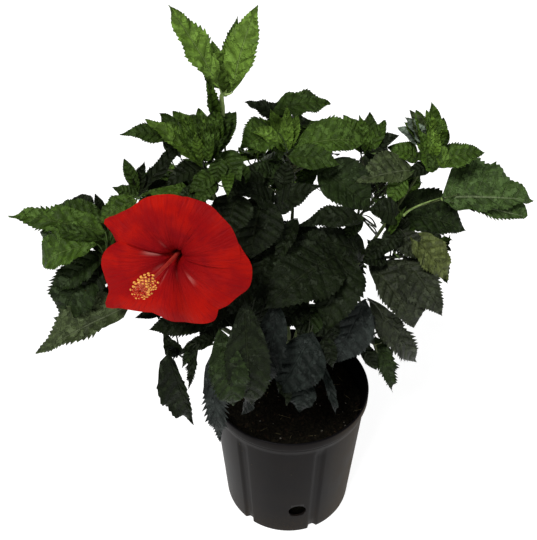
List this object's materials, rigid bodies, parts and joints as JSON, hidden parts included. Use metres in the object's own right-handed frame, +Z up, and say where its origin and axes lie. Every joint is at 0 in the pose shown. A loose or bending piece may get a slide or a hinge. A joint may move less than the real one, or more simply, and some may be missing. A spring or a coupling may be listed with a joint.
{
  "type": "hibiscus shrub in a nursery pot",
  "caption": "Young hibiscus shrub with toothed glossy leaves and an open red bloom, growing in a round black plastic nursery pot.",
  "frame": {"origin": "middle of the pot's flat underside, where it stands", "axes": "+Z up the plant, -Y towards the front that the bloom faces, +X to the viewer's right"},
  "size_m": [0.4491, 0.3478, 0.5554],
  "materials": {
    "pot_plastic": "satin, thin-walled blow-moulded plastic",
    "potting_mix": "crumbly dark bark mix",
    "bark": "matt young bark",
    "leaf": "glossy leaf",
    "young_leaf": "soft young leaf",
    "petal": "soft red petal"
  },
  "bodies": {
    "root": {"bloom": "petal", "bough_back": "bark", "bough_back_left": "bark", "bough_back_low": "bark", "bough_back_right": "bark", "bough_bloom": "bark", "bough_centre": "bark", "bough_far_right": "bark", "bough_front_low": "bark", "bough_front_right": "bark", "bough_heart": "bark", "bough_inner_left": "bark", "bough_left": "bark", "bough_left_low": "bark", "bough_left_top": "bark", "bough_middle": "bark", "bough_middle_right": "bark", "bough_right": "bark", "bough_right_low": "bark", "bough_right_top": "bark", "bough_sprig": "bark", "leaves_back": "leaf", "leaves_back_left": "leaf", "leaves_back_low": "leaf", "leaves_back_right": "leaf", "leaves_centre": "leaf", "leaves_far_right": "leaf", "leaves_front_low": "leaf", "leaves_front_right": "leaf", "leaves_heart": "leaf", "leaves_inner_left": "leaf", "leaves_left": "leaf", "leaves_left_low": "leaf", "leaves_left_top": "leaf", "leaves_middle": "young_leaf", "leaves_middle_right": "leaf", "leaves_right": "leaf", "leaves_right_low": "leaf", "leaves_right_top": "leaf", "leaves_sprig": "young_leaf", "pot": "pot_plastic", "potting_mix": "potting_mix", "trunk": "bark"}
  },
  "joints": []
}
